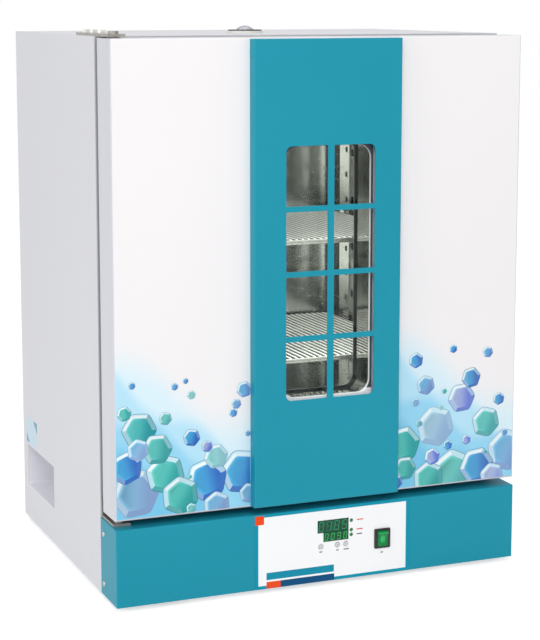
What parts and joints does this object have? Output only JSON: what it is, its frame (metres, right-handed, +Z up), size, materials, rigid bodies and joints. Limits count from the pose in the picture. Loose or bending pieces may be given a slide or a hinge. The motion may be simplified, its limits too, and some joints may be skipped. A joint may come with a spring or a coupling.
{
  "type": "forced air oven",
  "caption": "Free-standing laboratory forced air oven: full-face hinged door with a windowed centre strip, wire shelves, floor fan, roof vent and control base.",
  "frame": {"origin": "on the floor under the centre of the oven's bounding box", "axes": "+Z up, the door faces -Y, the hinges are on the -X side"},
  "size_m": [0.6476, 0.5372, 0.8293],
  "materials": {
    "cabinet_paint": "smooth semi-gloss powder coat",
    "door_paint": "smooth gloss enamel",
    "teal_paint": "fine satin powder coat",
    "stainless": "fine brushed stainless",
    "bright_stainless": "mirror-bright annealed stainless",
    "plated_steel": "bright zinc and nickel plate",
    "galvanised": "dull galvanised sheet",
    "glass": "clear toughened glass",
    "seal_rubber": "black silicone rubber",
    "gasket_silicone": "grey silicone sponge",
    "foot_rubber": "moulded black rubber",
    "wool": "mineral wool",
    "motor_paint": "ribbed die-cast housing, dark paint",
    "heater_sheath": "heat-darkened steel sheath",
    "wheel_steel": "pressed aluminium",
    "black_plastic": "fine-grained black plastic",
    "bush_plastic": "off-white bearing plastic",
    "board_green": "solder-masked circuit board",
    "label_film": "printed overlay film",
    "display_green": "tinted display window",
    "lamp_green": "tinted lamp lens",
    "rocker_green": "translucent lit rocker",
    "key_white": "smooth key cap",
    "core_steel": "varnished laminated core and coil",
    "bezel_white": "smooth white frame"
  },
  "bodies": {
    "cabinet": {"base_front_cover": "teal_paint", "bottom_plate": "galvanised", "chamber_liner": "bright_stainless", "control_board": "board_green", "control_label": "label_film", "deck_plate": "galvanised", "display_lower": "display_green", "display_upper": "display_green", "door_gasket": "gasket_silicone", "door_magnets": "black_plastic", "duct_panel_left": "bright_stainless", "duct_panel_right": "bright_stainless", "fan_motor": "motor_paint", "floor_plate": "bright_stainless", "front_frame": "cabinet_paint", "hand_grip_left": "cabinet_paint", "hand_grip_right": "cabinet_paint", "heater_element": "heater_sheath", "heater_relay": "black_plastic", "hinge_bolts": "plated_steel", "hinge_bracket_bottom": "plated_steel", "hinge_bracket_top": "plated_steel", "inlet_socket": "black_plastic", "insulation_jacket": "wool", "panel_screws": "plated_steel", "rear_panel": "cabinet_paint", "rocker_bezel": "black_plastic", "rubber_feet": "foot_rubber", "shelf_rack_left": "bright_stainless", "shelf_rack_right": "bright_stainless", "side_panel_left": "cabinet_paint", "side_panel_right": "cabinet_paint", "status_lamps": "lamp_green", "temperature_probe": "plated_steel", "terminal_block": "black_plastic", "top_panel": "cabinet_paint", "transformer": "core_steel", "vent_collar": "plated_steel", "vent_tube": "stainless"},
    "door": {"door_outer_pan": "door_paint", "door_inner_skin": "stainless", "door_insulation": "wool", "centre_strip": "teal_paint", "window_bezel": "bezel_white", "window_tunnel": "bright_stainless", "outer_pane": "glass", "inner_pane": "glass", "pane_seal": "seal_rubber", "hinge_bushes": "bush_plastic"},
    "shelf_lower": {"shelf_lower": "bright_stainless"},
    "shelf_upper": {"shelf_upper": "bright_stainless"},
    "fan_rotor": {"fan_wheel": "wheel_steel", "fan_shaft": "plated_steel"},
    "vent_damper": {"vent_damper": "plated_steel", "vent_knob": "plated_steel"},
    "power_rocker": {"power_rocker": "rocker_green"},
    "key_set": {"key_set": "key_white"},
    "key_down": {"key_down": "key_white"},
    "key_up": {"key_up": "key_white"}
  },
  "joints": [
    {"name": "door_hinge", "type": "hinge", "parent": "cabinet", "child": "door", "pos_m": [-0.307, -0.2216, 0.1346], "axis": [0, 0, -1], "range_deg": [0, 115]},
    {"name": "shelf_lower_slide", "type": "slide", "parent": "cabinet", "child": "shelf_lower", "axis": [0, -1, 0], "range_m": [0, 0.02]},
    {"name": "shelf_upper_slide", "type": "slide", "parent": "cabinet", "child": "shelf_upper", "axis": [0, -1, 0], "range_m": [0, 0.02]},
    {"name": "fan_spin", "type": "hinge", "parent": "cabinet", "child": "fan_rotor", "pos_m": [0, 0.0126, 0.1375], "axis": [0, 0, 1], "continuous": true},
    {"name": "vent_turn", "type": "hinge", "parent": "cabinet", "child": "vent_damper", "pos_m": [-0.031, -0.0156, 0.818], "axis": [0, 0, 1], "range_deg": [0, 30]},
    {"name": "rocker_tilt", "type": "hinge", "parent": "cabinet", "child": "power_rocker", "pos_m": [0.09605, -0.2517, 0.06395], "axis": [-1, 0, 0], "range_deg": [0, 16]},
    {"name": "key_set_press", "type": "slide", "parent": "cabinet", "child": "key_set", "axis": [0, 1, 0], "range_m": [0, 0.0005], "stiffness_N_per_m": 300},
    {"name": "key_down_press", "type": "slide", "parent": "cabinet", "child": "key_down", "axis": [0, 1, 0], "range_m": [0, 0.0005], "stiffness_N_per_m": 300},
    {"name": "key_up_press", "type": "slide", "parent": "cabinet", "child": "key_up", "axis": [0, 1, 0], "range_m": [0, 0.0005], "stiffness_N_per_m": 300}
  ]
}
